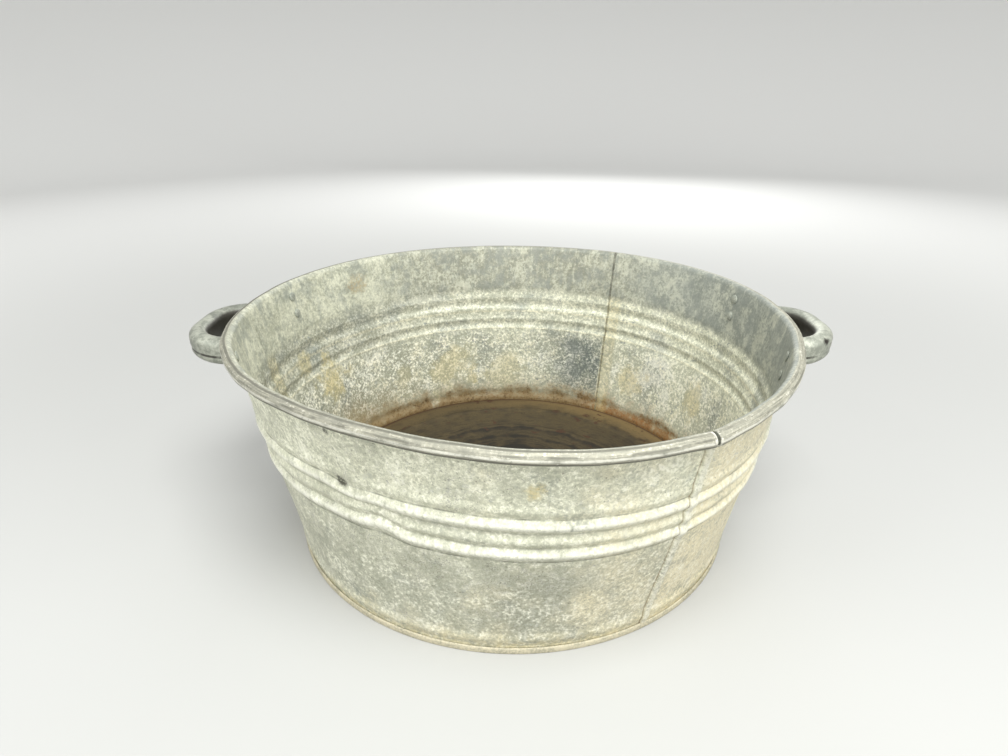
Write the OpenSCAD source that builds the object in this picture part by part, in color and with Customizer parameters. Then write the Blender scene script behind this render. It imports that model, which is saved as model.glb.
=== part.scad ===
/* [Tub] */
// Outer diameter over the rolled rim
rim_d = 600; // [560:5:680]
// Height of the centre of the rim roll above the ground
rim_h = 240; // [210:5:300]
// Outer diameter of the foot band
foot_d = 504; // [440:2:530]
// Thickness of the galvanised sheet
sheet_t = 0.8; // [0.6:0.05:1]
// Gap between folded layers of sheet
fold_gap = 0.1; // [0.05:0.05:0.2]

/* [Rolled rim] */
// Diameter of the wire inside the roll
wire_d = 10; // [8:0.5:13]
// Gap all round between the wire and the roll
wire_gap = 0.2; // [0.1:0.05:0.4]
// How far the sheet wraps round the wire, in degrees
roll_turn = 305; // [270:5:310]
// Gap between the ends of the roll at the open joint
open_joint_gap = 2.2; // [1:0.1:4]
// Gap between the ends of the roll at the other two seams
tight_joint_gap = 0.3; // [0.2:0.1:1]
// Gap between the two ends of the rim wire
wire_end_gap = 5; // [2:0.5:10]

/* [Pressed beads] */
// Drop from the rim roll's centre to the middle of the bead group
bead_drop = 91; // [84:1:110]
// How far the beads lie above and below the middle of the group
bead_spread = 16; // [15:0.5:20]
// How far the two main beads stand out from the plain wall
bead_out = 4; // [2:0.25:5]
// Half of the width of a main bead
bead_half_w = 9; // [8:0.5:11]
// How far the faint middle bead stands out
mid_bead_out = 2.6; // [1:0.1:3.5]
// Half of the width of the middle bead
mid_bead_half_w = 8; // [6:0.5:10]
// Height of the soft shoulder above the upper bead
shoulder_out = 1.6; // [0.5:0.1:2.5]
// Half of the width of the shoulder
shoulder_half_w = 8; // [6:0.5:10]
// How far the wall bulges just above the foot
foot_bulge_out = 1.5; // [0:0.25:3]
// Half of the height of that bulge
foot_bulge_half_w = 9; // [7:0.5:12]

/* [Lock seams] */
// Azimuth of the first of the three lock seams, in degrees
seam_az = 60; // [55:1:65]
// Width of the grooved lock seam
lock_w = 7; // [6:0.5:10]

/* [Foot and floor] */
// Height of the foot band
foot_band_h = 7; // [6.5:0.5:10]
// Height of the wall's turned-up hem inside the foot band
hem_h = 5; // [3.5:0.25:5.5]
// Gap inside the hem's fold
hem_gap = 0.4; // [0.2:0.1:0.8]
// Height of the upper face of the floor above the ground
floor_h = 7; // [5:0.5:14]
// Bend radius where the floor turns down into the foot
floor_bend_r = 2.5; // [1.5:0.25:4]
// Bend radius at the underside of the foot
foot_bend_r = 0.7; // [0.6:0.05:0.9]
// Gap between the foot band's lip and the wall
foot_lip_gap = 0.3; // [0.2:0.1:0.5]
// Height above the hem at which the foot band leans in over it
foot_lip_rise = 0.3; // [0.2:0.05:0.6]
// Height above the foot band at which the wall leaves the vertical
knee_rise = 1.5; // [1:0.25:4]
// Distance from the floor's edge to the outer ring pressed in it
outer_ring_inset = 32; // [12:1:60]
// Distance between the two rings pressed in the floor
ring_pitch = 56; // [26:1:90]
// Height of the rings pressed in the floor
floor_ring_h = 1.2; // [0.5:0.1:2]
// Half of the width of a pressed floor ring
floor_ring_half_w = 8; // [5:0.5:12]

/* [Grips] */
// Height of the grip tube's section
grip_h = 30; // [24:1:36]
// Width of the grip tube's section
grip_w = 20; // [16:1:24]
// Thickness of the grip's rolled sheet
grip_t = 1; // [0.8:0.1:1.5]
// Distance from the rim to the outer face of the grip
grip_reach = 53.5; // [46:0.5:64]
// Half of the distance between the centres of the grip's legs
grip_half_span = 51; // [46:1:56]
// Bend radius of the grip's corners, on the tube's centre line
grip_bend_r = 40; // [34:1:44]
// Clearance between the rim roll and the top of the grip
grip_clear = 3; // [1:0.5:6]
// Width of the open lap seam that runs along the grip
grip_slit_w = 1; // [0.6:0.1:2]
// Drop from the grip's centre line to its lap seam
grip_slit_drop = 7; // [4:0.5:9]

/* [Lugs and rivets] */
// Height of the flattened lugs
lug_h = 34; // [30:1:38]
// Thickness of the flattened lugs
lug_t = 2; // [1.6:0.1:3]
// Gap between the lug and the wall
lug_gap = 0.1; // [0.05:0.05:0.3]
// Clearance between the rim roll and the top of the lug
lug_clear = 1; // [0.5:0.5:4]
// Radius of the lug's outer corners
lug_corner_r = 9; // [4:0.5:12]
// Distance from the rivets to the lug's end
lug_end_margin = 12; // [9:0.5:16]
// Azimuth of the rivets, on either side of the grip, in degrees
rivet_az = 18; // [17:0.25:20]
// Height between the two rivets of a lug
rivet_pitch = 21; // [16:0.5:22]
// Diameter of a rivet's shank
rivet_d = 5; // [4:0.25:6]
// Clearance all round between a rivet and its hole
rivet_clear = 0.1; // [0.05:0.05:0.3]
// Diameter of a rivet's round head
rivet_head_d = 10; // [8:0.5:11]
// Height of a rivet's round head
rivet_head_h = 3; // [2:0.25:3.5]
// Diameter of the peened end, inside the tub
peen_d = 7.5; // [6.5:0.25:8.5]
// Height of the peened end
peen_h = 1.8; // [1:0.1:2.5]
// Outer diameter of the burr, the washer under the peened end
burr_d = 10.5; // [9:0.5:13]
// Thickness of the burr
burr_t = 1.2; // [0.8:0.1:2]
// Gap between a rivet's head or burr and what it bears on
seat_gap = 0.1; // [0.08:0.02:0.2]

/* [Hidden] */
$fn = 120;

panel_turn = 360 / 3;
right_az = 0;
left_az = 180;
grip_sides = [-1, 1];
cut_margin = 1;

// Roll round the rim wire: its outer radius, its sheet's middle radius and its centre
roll_r = wire_d / 2 + wire_gap + sheet_t;
roll_mid_r = roll_r - sheet_t / 2;
roll_c = [rim_d / 2 - roll_r, rim_h];

// Layers of the foot, from the outside in: band, hem, wall, inner leg of the floor
band_mid_r = foot_d / 2 - sheet_t / 2;
hem_mid_r = band_mid_r - sheet_t - fold_gap;
wall_foot_r = hem_mid_r - sheet_t - hem_gap;
leg_mid_r = wall_foot_r - sheet_t - fold_gap;
hem_bend_r = (hem_mid_r - wall_foot_r) / 2;
hem_c = [(hem_mid_r + wall_foot_r) / 2, sheet_t + fold_gap + sheet_t / 2 + hem_bend_r];
lip_mid_r = wall_foot_r + sheet_t / 2 + foot_lip_gap + sheet_t / 2;
knee = [wall_foot_r, foot_band_h + knee_rise];
floor_edge_r = leg_mid_r - floor_bend_r;
outer_ring_r = floor_edge_r - outer_ring_inset;
inner_ring_r = outer_ring_r - ring_pitch;

// The plain wall runs from the knee to touch the roll, so its slope follows from both
knee_to_roll = norm(roll_c - knee);
slope = acos(roll_mid_r / knee_to_roll) - atan2(roll_c[1] - knee[1], roll_c[0] - knee[0]);
roll_touch = roll_c + roll_mid_r * [-cos(slope), sin(slope)];

// Bead heights above the ground
lower_bead_extra_drop = 1;
mid_bead_extra_drop = 2;
shoulder_overlap = 2;
bead_z = rim_h - bead_drop;
upper_bead_z = bead_z + bead_spread;
lower_bead_z = bead_z - bead_spread - lower_bead_extra_drop;
mid_bead_z = bead_z - mid_bead_extra_drop;
shoulder_z = upper_bead_z + bead_half_w + shoulder_half_w - shoulder_overlap;
bead_top_z = shoulder_z + shoulder_half_w;
bead_low_z = lower_bead_z - bead_half_w;
bulge_z = knee[1] + foot_bulge_half_w;
bulge_top_z = bulge_z + foot_bulge_half_w;
bead_steps = 28;
bulge_steps = 6;
roll_steps = 20;
fold_steps = 4;
half_ring_steps = 4;

// Lock seam: pitch of its layers, its heights and its angles
layer = sheet_t + fold_gap;
lock_end_clear = 0.5;
lock_low_z = foot_band_h + lock_end_clear;
lock_top_z = rim_h - roll_r - lock_end_clear;
lock_mid_r = (rim_d + foot_d) / 4;
lock_turn = turn_of(lock_w, lock_mid_r);
sheet_turn = turn_of(sheet_t, lock_mid_r);
gap_turn = turn_of(fold_gap, lock_mid_r);
lock_start = -lock_turn / 2;
lock_end = lock_turn / 2;
butt = lock_start + sheet_turn;
inner_fold_end = butt + gap_turn + sheet_turn;

// Grip: centre height, section's place and the ends of its round corners
grip_z = rim_h - roll_r - grip_clear - grip_h / 2;
grip_bow_x = rim_d / 2 + grip_reach - grip_w / 2;
grip_corner = [grip_bow_x - grip_bend_r, grip_half_span - grip_bend_r];

// Lugs and rivets
lug_z = rim_h - roll_r - lug_clear - lug_h / 2;
rivet_zs = [lug_z - rivet_pitch / 2, lug_z + rivet_pitch / 2];
rivet_hole_r = rivet_d / 2 + rivet_clear;
lug_root_turn = 14;
lug_end_turn = rivet_az + turn_of(lug_end_margin, lock_mid_r);
lug_skin = lug_gap + lug_t;

// Half way along the closing leg: place, facing and size of its section
leg_inset = 0.1;
leg_slice_half_t = 0.4;
half_flat = grip_corner + [-13.5, grip_bend_r + 4];
half_flat_turn = 50;
half_flat_w = 0.6 * grip_w;
half_flat_h = (grip_h + lug_h) / 2;
half_flat_inset = 0.3;

// Rivet stack, measured out from the wall's outer face
head_seat = lug_skin + seat_gap;
burr_seat = -sheet_t - seat_gap;
peen_seat = burr_seat - burr_t - seat_gap;

// Angle that a length takes up on a circle
function turn_of(length, r) = length / r * 180 / PI;

function unit(v) = v / norm(v);
function left_of(v) = [-v[1], v[0]];
function reversed(list) = [for (i = [len(list) - 1:-1:0]) list[i]];
function arc(c, r, a0, a1, n) = [for (i = [0:n]) let (a = a0 + (a1 - a0) * i / n) c + r * [cos(a), sin(a)]];

// Direction of a path at one of its points, and the same path moved sideways by d
function before(path, i) = unit(path[max(i, 1)] - path[max(i, 1) - 1]);
function after(path, i) = unit(path[min(i, len(path) - 2) + 1] - path[min(i, len(path) - 2)]);
function heading(path, i) = unit(before(path, i) + after(path, i));
function beside(path, d) = [for (i = [0:len(path) - 1])
    path[i] + left_of(heading(path, i)) * d / (heading(path, i) * before(path, i))];

// A rounded ridge, centred at c, as a height at x
function ridge(x, c, half_w, h) = abs(x - c) < half_w ? h * (1 + cos(180 * (x - c) / half_w)) / 2 : 0;

function plain_r(z) = knee[0] + (z - knee[1]) * tan(slope);
function wall_r(z) = plain_r(z)
    + ridge(z, upper_bead_z, bead_half_w, bead_out)
    + ridge(z, lower_bead_z, bead_half_w, bead_out)
    + ridge(z, mid_bead_z, mid_bead_half_w, mid_bead_out)
    + ridge(z, shoulder_z, shoulder_half_w, shoulder_out)
    + ridge(z, bulge_z, foot_bulge_half_w, foot_bulge_out);
function wall_points(z0, z1, n) = [for (i = [0:n]) let (z = z0 + (z1 - z0) * i / n) [wall_r(z), z]];

// Middle lines of the sheets, as radius and height
hem_path = concat(
    [[hem_mid_r, hem_h]],
    arc(hem_c, hem_bend_r, 0, -180, fold_steps));
bulge_path = wall_points(knee[1], bulge_top_z, bulge_steps);
bead_path = wall_points(bead_low_z, bead_top_z, bead_steps);
roll_path = arc(roll_c, roll_mid_r, 180 - slope, 180 - slope - roll_turn, roll_steps);
wall_path = concat(hem_path, bulge_path, bead_path, roll_path);
function lock_path(longer = 0) = concat(
    [[knee[0], lock_low_z - longer]],
    bulge_path,
    bead_path,
    [[plain_r(lock_top_z + longer), lock_top_z + longer]]);
function floor_point(r) = [r, floor_h - sheet_t / 2
    + ridge(r, inner_ring_r, floor_ring_half_w, floor_ring_h)
    + ridge(r, outer_ring_r, floor_ring_half_w, floor_ring_h)];
function ring_points(c) = [for (i = [-half_ring_steps:half_ring_steps])
    floor_point(c + floor_ring_half_w * i / half_ring_steps)];
plate_path = concat(
    [[0, floor_h - sheet_t / 2]],
    ring_points(inner_ring_r),
    ring_points(outer_ring_r),
    arc([floor_edge_r, floor_h - sheet_t / 2 - floor_bend_r], floor_bend_r, 90, 0, fold_steps),
    arc([leg_mid_r + foot_bend_r, sheet_t / 2 + foot_bend_r], foot_bend_r, 180, 270, fold_steps),
    arc([band_mid_r - foot_bend_r, sheet_t / 2 + foot_bend_r], foot_bend_r, 270, 360, fold_steps),
    [[band_mid_r, hem_h + foot_lip_rise], [lip_mid_r, foot_band_h - sheet_t / 4]]);

// Sheet between two distances outside a middle line, as a flat outline
module ribbon(path, inner, outer) {
    polygon(concat(beside(path, -inner), reversed(beside(path, -outer))));
}

// Part of a ring between two angles
module sector(from, to) {
    rotate([0, 0, from])
        rotate_extrude(angle = to - from)
            children();
}

// Part of the lock seam between two angles and two distances outside the wall's middle
module lock_block(from, to, inner, outer) {
    sector(from, to)
        ribbon(lock_path(), inner, outer);
}

// Space inside the lock seam, running past its ends
module lock_space(from, to, inner, outer) {
    sector(from, to)
        ribbon(lock_path(cut_margin), inner, outer);
}

// The far edge of a panel steps out over the next panel and folds back under its hook
module outer_hook() {
    difference() {
        lock_block(lock_start, lock_end, 0, 3 * layer + sheet_t / 2);
        lock_space(butt, 2 * lock_end, -sheet_t, layer - sheet_t / 2);
        lock_space(butt, inner_fold_end + gap_turn, -2 * sheet_t, 2 * layer + sheet_t / 2 + fold_gap / 2);
        lock_space(butt, lock_end - sheet_turn, layer + sheet_t / 2, 3 * layer - sheet_t / 2);
    }
}

// The near edge of a panel passes under the seam and folds back inside the outer hook
module inner_hook() {
    difference() {
        lock_block(butt + gap_turn, lock_end - sheet_turn - gap_turn, 0, 2 * layer + sheet_t / 2);
        lock_space(inner_fold_end, lock_end, sheet_t / 4, 2 * layer - sheet_t / 2);
    }
}

// Cuts the roll back at the near edge of a panel, down to the plain wall
module roll_notch(from_turn, gap) {
    turn = turn_of(gap, roll_c[0]);
    sector(from_turn - turn, from_turn + turn)
        translate([roll_c[0] - roll_r - cut_margin, rim_h - roll_r - cut_margin / 2])
            square([2 * (roll_r + cut_margin), 2 * (roll_r + cut_margin)]);
}

// Places its children on the wall's outer face, with +Z pointing straight out of the wall
module on_wall(az, z) {
    rotate([0, 0, az])
        translate([plain_r(z) + sheet_t / 2 / cos(slope), 0, z])
            rotate([0, 90 + slope, 0])
                children();
}

module for_rivets(grip_az) {
    for (side = grip_sides)
        for (z = rivet_zs)
            on_wall(grip_az + side * rivet_az, z)
                children();
}

module rivet_holes(grip_az) {
    for_rivets(grip_az)
        translate([0, 0, -sheet_t - cut_margin])
            cylinder(h = sheet_t + lug_skin + 2 * cut_margin, r = rivet_hole_r);
}

module wall_panel(from, joint_gap) {
    to = from + panel_turn;
    near_edge = from + butt + gap_turn;
    difference() {
        union() {
            sector(near_edge, to + butt)
                ribbon(wall_path, -sheet_t / 2, sheet_t / 2);
            rotate([0, 0, to])
                outer_hook();
            rotate([0, 0, from])
                inner_hook();
        }
        roll_notch(near_edge, joint_gap);
        rivet_holes(right_az);
        rivet_holes(left_az);
    }
}

module wall_panel_right() {
    color([0.66, 0.67, 0.60])
        wall_panel(seam_az - panel_turn, open_joint_gap);
}

module wall_panel_back() {
    color([0.63, 0.65, 0.60])
        wall_panel(seam_az, tight_joint_gap);
}

module wall_panel_front() {
    color([0.69, 0.70, 0.64])
        wall_panel(seam_az + panel_turn, tight_joint_gap);
}

module rim_wire() {
    wire_gap_turn = turn_of(wire_end_gap, roll_c[0]);
    color([0.45, 0.45, 0.44])
        sector(seam_az - panel_turn + wire_gap_turn / 2, seam_az + 2 * panel_turn - wire_gap_turn / 2)
            translate(roll_c)
                circle(d = wire_d);
}

module bottom_plate() {
    color([0.52, 0.46, 0.36])
        rotate_extrude()
            ribbon(plate_path, -sheet_t / 2, sheet_t / 2);
}

module stadium(w, h) {
    translate([0, (h - w) / 2])
        circle(d = w);
    translate([0, (w - h) / 2])
        circle(d = w);
    square([w, h - w], center = true);
}

// Section of the grip, with +X towards the outside of the bow
module grip_section() {
    difference() {
        stadium(grip_w, grip_h);
        stadium(grip_w - 2 * grip_t, grip_h - 2 * grip_t);
        translate([0, -grip_slit_drop - grip_slit_w / 2])
            square([grip_w, grip_slit_w]);
    }
}

// A thin slice across the leg, at a place in plan, with its outer side facing turn
module leg_slice(place, turn, w, h) {
    translate([place[0], place[1], grip_z])
        rotate([90, 0, turn])
            linear_extrude(2 * leg_slice_half_t, center = true)
                stadium(w, h, $fn = 32);
}

// The leg closes from the round tube to the flat lug in two steps
module closing_leg() {
    hull() {
        leg_slice([grip_corner[0], grip_half_span], 90, grip_w - leg_inset, grip_h - leg_inset);
        leg_slice(half_flat, half_flat_turn, half_flat_w, half_flat_h);
    }
    hull() {
        leg_slice(half_flat, half_flat_turn, half_flat_w - half_flat_inset, half_flat_h - half_flat_inset);
        on_wall(lug_root_turn, lug_z)
            translate([0, 0, lug_gap + lug_t / 2])
                cube([lug_h - leg_inset, 2 * leg_slice_half_t, lug_t - leg_inset], center = true);
    }
}

// One lug, curved to the wall, with round outer corners
module lug() {
    reach = rim_d / 2 * sin(lug_end_turn);
    intersection() {
        sector(lug_root_turn, lug_end_turn + lug_root_turn)
            ribbon([[plain_r(lug_z - lug_h), lug_z - lug_h], [plain_r(lug_z + lug_h), lug_z + lug_h]],
                sheet_t / 2 + lug_gap, sheet_t / 2 + lug_skin);
        rotate([90, 0, 90])
            linear_extrude(rim_d)
                translate([0, lug_z]) {
                    square([2 * (reach - lug_corner_r), lug_h], center = true);
                    square([2 * reach, lug_h - 2 * lug_corner_r], center = true);
                    for (side = grip_sides)
                        translate([reach - lug_corner_r, side * (lug_h / 2 - lug_corner_r)])
                            circle(r = lug_corner_r);
                }
    }
}

module half_grip() {
    translate([grip_corner[0], grip_corner[1], grip_z])
        rotate_extrude(angle = 90)
            translate([grip_bend_r, 0])
                grip_section();
    closing_leg();
    lug();
}

module grip(az) {
    rotate([0, 0, az]) {
        translate([grip_bow_x, grip_corner[1], grip_z])
            rotate([90, 0, 0])
                linear_extrude(2 * grip_corner[1])
                    grip_section();
        half_grip();
        mirror([0, 1, 0])
            half_grip();
    }
}

module handle_right() {
    color([0.50, 0.52, 0.50])
        difference() {
            grip(right_az);
            rivet_holes(right_az);
        }
}

module handle_left() {
    color([0.50, 0.52, 0.50])
        difference() {
            grip(left_az);
            rivet_holes(left_az);
        }
}

// A round cap of a sphere, flat side down, h high and d across
module dome(d, h) {
    ball_r = (h * h + d * d / 4) / (2 * h);
    intersection() {
        translate([0, 0, h - ball_r])
            sphere(r = ball_r);
        cylinder(h = h, d = d);
    }
}

module rivet() {
    translate([0, 0, peen_seat])
        cylinder(h = head_seat - peen_seat, d = rivet_d);
    translate([0, 0, head_seat])
        dome(rivet_head_d, rivet_head_h);
    translate([0, 0, peen_seat])
        mirror([0, 0, 1])
            dome(peen_d, peen_h);
}

module burr() {
    translate([0, 0, burr_seat - burr_t])
        difference() {
            cylinder(h = burr_t, d = burr_d);
            translate([0, 0, -cut_margin])
                cylinder(h = burr_t + 2 * cut_margin, r = rivet_hole_r);
        }
}

module handle_right_rivets() {
    color([0.42, 0.42, 0.40])
        for_rivets(right_az)
            rivet($fn = 48);
}

module handle_left_rivets() {
    color([0.42, 0.42, 0.40])
        for_rivets(left_az)
            rivet($fn = 48);
}

module handle_right_burrs() {
    color([0.58, 0.60, 0.58])
        for_rivets(right_az)
            burr($fn = 48);
}

module handle_left_burrs() {
    color([0.58, 0.60, 0.58])
        for_rivets(left_az)
            burr($fn = 48);
}

wall_panel_right();
wall_panel_back();
wall_panel_front();
rim_wire();
bottom_plate();
handle_right();
handle_left();
handle_right_rivets();
handle_left_rivets();
handle_right_burrs();
handle_left_burrs();
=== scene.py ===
import math

import bpy
import numpy as np
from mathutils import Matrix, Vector, noise


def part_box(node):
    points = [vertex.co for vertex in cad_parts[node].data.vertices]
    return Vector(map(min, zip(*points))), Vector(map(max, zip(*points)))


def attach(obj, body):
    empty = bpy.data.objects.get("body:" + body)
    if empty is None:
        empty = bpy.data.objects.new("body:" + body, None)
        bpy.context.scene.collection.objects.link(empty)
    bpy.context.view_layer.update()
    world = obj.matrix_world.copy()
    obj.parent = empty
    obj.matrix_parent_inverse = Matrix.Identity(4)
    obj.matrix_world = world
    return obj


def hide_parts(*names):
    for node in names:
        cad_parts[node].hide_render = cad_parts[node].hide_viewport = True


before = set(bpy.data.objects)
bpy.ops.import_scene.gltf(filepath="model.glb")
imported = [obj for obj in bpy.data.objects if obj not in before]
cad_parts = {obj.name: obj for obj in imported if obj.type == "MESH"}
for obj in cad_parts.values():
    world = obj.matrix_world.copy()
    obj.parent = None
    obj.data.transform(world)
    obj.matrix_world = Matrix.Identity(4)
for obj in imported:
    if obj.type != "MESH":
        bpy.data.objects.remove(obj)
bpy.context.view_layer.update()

mm = 0.001
print("frame loaded:", ", ".join(sorted(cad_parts)))


# Small helpers for working in object and edit mode

def clearSelection():
    if bpy.context.object and bpy.context.object.mode != "OBJECT":
        bpy.ops.object.mode_set(mode="OBJECT")
    bpy.ops.object.select_all(action="DESELECT")


def pick(obj):
    clearSelection()
    obj.select_set(True)
    bpy.context.view_layer.objects.active = obj


def nameIt(obj, name):
    obj.name = name
    obj.data.name = name
    return obj


def settle(obj):
    pick(obj)
    bpy.ops.object.transform_apply(location=True, rotation=True, scale=True)
    return obj


def faceOutwards(obj):
    pick(obj)
    bpy.ops.object.mode_set(mode="EDIT")
    bpy.ops.mesh.select_all(action="SELECT")
    bpy.ops.mesh.normals_make_consistent(inside=False)
    bpy.ops.object.mode_set(mode="OBJECT")


def thicken(obj, thickness):
    pick(obj)
    added = obj.modifiers.new("sheet", "SOLIDIFY")
    added.thickness = thickness
    added.offset = 0.0
    added.use_even_offset = True
    bpy.ops.object.modifier_apply(modifier=added.name)
    faceOutwards(obj)


def closeEnds(tube):
    pick(tube)
    bpy.ops.object.mode_set(mode="EDIT")
    bpy.ops.mesh.select_all(action="DESELECT")
    bpy.ops.mesh.select_non_manifold()
    bpy.ops.mesh.edge_face_add()
    faceOutwards(tube)


def joinPieces(pieces, name):
    pick(pieces[0])
    for piece in pieces:
        piece.select_set(True)
    bpy.ops.object.join()
    return nameIt(bpy.context.object, name)


def smoothByAngle(obj, degrees=40):
    pick(obj)
    bpy.ops.object.shade_smooth_by_angle(angle=math.radians(degrees))


def finishPiece(obj, material, degrees=40):
    obj.data.materials.clear()
    obj.data.materials.append(material)
    smoothByAngle(obj, degrees)


def drawChain(points):
    # one vertex, extruded from point to point in the XZ plane
    clearSelection()
    bpy.ops.mesh.primitive_plane_add(size=mm, location=(points[0][0], 0, points[0][1]))
    chain = bpy.context.object
    bpy.ops.object.mode_set(mode="EDIT")
    bpy.ops.mesh.select_all(action="SELECT")
    bpy.ops.mesh.merge(type="CENTER")
    for here, there in zip(points, points[1:]):
        step = (there[0] - here[0], 0, there[1] - here[1])
        bpy.ops.mesh.extrude_region_move(TRANSFORM_OT_translate={"value": step})
    return chain


def spinChain(points, fromDegrees, toDegrees, steps, closed=False):
    # spins the chain about Z, then turns it to where it starts
    chain = drawChain(points)
    bpy.ops.mesh.select_all(action="SELECT")
    bpy.ops.mesh.spin(steps=steps, angle=math.radians(fromDegrees - toDegrees),
                      center=(0, 0, 0), axis=(0, 0, 1))
    bpy.ops.mesh.select_all(action="SELECT")
    if closed:
        bpy.ops.mesh.remove_doubles(threshold=mm / 100)
    bpy.ops.object.mode_set(mode="OBJECT")
    settle(chain)
    chain.rotation_euler = (0, 0, math.radians(fromDegrees))
    return settle(chain)


def getPoints(obj):
    flat = np.empty(len(obj.data.vertices) * 3)
    obj.data.vertices.foreach_get("co", flat)
    return flat.reshape(-1, 3)


def putPoints(obj, points):
    obj.data.vertices.foreach_set("co", points.ravel())
    obj.data.update()


def toRound(points):
    # radius, azimuth in radians and height
    x, y, z = points.T
    return np.hypot(x, y), np.arctan2(y, x), z


def fromRound(radius, turn, z):
    return np.stack([radius * np.cos(turn), radius * np.sin(turn), z], axis=1)


def spread(low, high, steps):
    return [low + (high - low) * i / steps for i in range(steps + 1)]


def arcPoints(centre, radius, fromDegrees, toDegrees, steps):
    turns = [math.radians(degrees) for degrees in spread(fromDegrees, toDegrees, steps)]
    return [(centre[0] + radius * math.cos(t), centre[1] + radius * math.sin(t)) for t in turns]


def smooth(x, low, high):
    t = np.clip((x - low) / (high - low), 0, 1)
    return t * t * (3 - 2 * t)


def noiseAt(places):
    return np.array([noise.noise(Vector(place)) for place in places])


def ridge(x, centre, halfWidth, height):
    away = abs(x - centre) / halfWidth
    return height * (1 + math.cos(math.pi * away)) / 2 if away < 1 else 0


# Sizes of the tub, from the frame and the sheet's own thickness

rimLow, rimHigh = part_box("rim_wire")
footLow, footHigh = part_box("bottom_plate")
tub = {
    "sheet": 0.8 * mm,
    "rimRadius": 300 * mm,
    "wireRadius": (rimHigh[2] - rimLow[2]) / 2,
    "wireGap": 0.2 * mm,
    "rollTurn": 305,
    "footRadius": footHigh[0],
    "kneeHeight": 8.5 * mm,
    "wallFoot": 249.5 * mm,
    "hemInset": 1.3 * mm,
    "hemBendHeight": 1.9 * mm,
    "hemTop": 5 * mm,
}
tub["rollRadius"] = tub["wireRadius"] + tub["wireGap"] + tub["sheet"]
tub["rollMiddle"] = tub["rollRadius"] - tub["sheet"] / 2
tub["rollCentre"] = (tub["rimRadius"] - tub["rollRadius"], (rimHigh[2] + rimLow[2]) / 2)
underRoll = tub["rollCentre"][1] - tub["rollRadius"]

kneeRise = tub["rollCentre"][1] - tub["kneeHeight"]
kneeRun = tub["rollCentre"][0] - tub["wallFoot"]
slope = math.acos(tub["rollMiddle"] / math.hypot(kneeRise, kneeRun)) - math.atan2(kneeRise, kneeRun)

# pressed beads, from the rim down: height of the middle, half width and how far out
beads = (
    (180 * mm, 8 * mm, 1.4 * mm),
    (165 * mm, 9 * mm, 3.8 * mm),
    (147 * mm, 8 * mm, 2.2 * mm),
    (132 * mm, 9 * mm, 3.8 * mm),
    (tub["kneeHeight"] + 9 * mm, 9 * mm, 1.5 * mm),
)
# rows of the wall's mesh, close together over the beads: from, to and steps
wallRows = (
    (tub["kneeHeight"], 28 * mm, 8),
    (34 * mm, 112 * mm, 9),
    (115 * mm, 193 * mm, 64),
    (200 * mm, 228 * mm, 4),
)
wallHeights = [z for low, high, steps in wallRows for z in spread(low, high, steps)]


def plainRadius(z):
    return tub["wallFoot"] + (z - tub["kneeHeight"]) * math.tan(slope)


def wallRadius(z):
    return plainRadius(z) + sum(ridge(z, *bead) for bead in beads)


def drawSheet():
    # the sheet from its hem over the wall to the end of the roll
    hemOut = tub["footRadius"] - tub["hemInset"]
    hemMiddle = ((hemOut + tub["wallFoot"]) / 2, tub["hemBendHeight"])
    hem = [(hemOut, tub["hemTop"])] + arcPoints(hemMiddle, hemOut - hemMiddle[0], 0, -180, 6)
    wall = [(wallRadius(z), z) for z in wallHeights]
    rollFrom = 180 - math.degrees(slope)
    roll = arcPoints(tub["rollCentre"], tub["rollMiddle"], rollFrom, rollFrom - tub["rollTurn"], 36)
    return hem, wall, roll


hem, wall, roll = drawSheet()
sheetChain = np.array(hem + wall + roll)
sheetLengths = np.concatenate([[0], np.cumsum(np.hypot(*np.diff(sheetChain, axis=0).T))])
onWall = slice(len(hem), len(hem) + len(wall))
rollStart = float(sheetLengths[onWall.stop])


def heightAlong(z):
    # distance along the sheet at a height of the wall
    return float(np.interp(z, sheetChain[onWall, 1], sheetLengths[onWall]))


# How the old tub is out of true: a warped rim, dents, and beads that fade round the back

warp = {
    # the rim's harmonics 2 to 4, in thousandths of its radius
    "radialCos": (5, -13, 3),
    "radialSin": (-9, 0, 7),
    "heightCos": (2, 3, -1),
    "heightSin": (-1, 3, -2),
    "heightDrop": 1.4 * mm,
    "flatUpTo": 150 * mm,
    "wholeFrom": 240 * mm,
    "dentsFrom": 30 * mm,
    "rippleRound": 9,
    "rippleUp": 22,
    "rippleOut": 1 * mm,
    # how far round the back the beads are faint, in degrees, and how unevenly
    "backEnds": (118, 92),
    "backUneven": 0.4,
    "backNoise": 2.4,
    "backSlice": 5.1,
}
# dents: azimuth in degrees, then height, half width, half height, depth and drop of the sheet in mm
dents = (
    (-124, 150, 45, 50, 3.5, 0),
    (-121, 167, 26, 14, 1.2, 5),
    (-114.5, 136, 19, 17, 0.8, -7),
    (-105, 131, 14, 14, -1.0, -2),
    (-60, 236, 18, 14, -2, 2),
    (-146, 60, 30, 26, 2, 0),
    (76, 90, 40, 30, -2, 0),
    (-80, 70, 36, 24, 1.2, 0),
    (40, 96, 30, 22, 1.5, 0),
)
# the beads round the back, first lowered, then pressed flatter: height, half height, depth and drop in mm
backBeads = (
    (181, 8, 0, 1), (165, 12, 0, 6), (147, 8, 0, 2), (132, 12, 0, 3),
    (180, 4.8, 1.0, 0), (165, 5.4, 2.4, 0), (147, 4.8, 2.0, 0), (132, 5.4, 2.3, 0),
)
# the front seam leans a little to the right on its way up
seamLean = {"turn": -60, "wide": 16, "lean": 1.35, "low": (8 * mm, 120 * mm), "high": (234 * mm, 222 * mm)}


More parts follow.
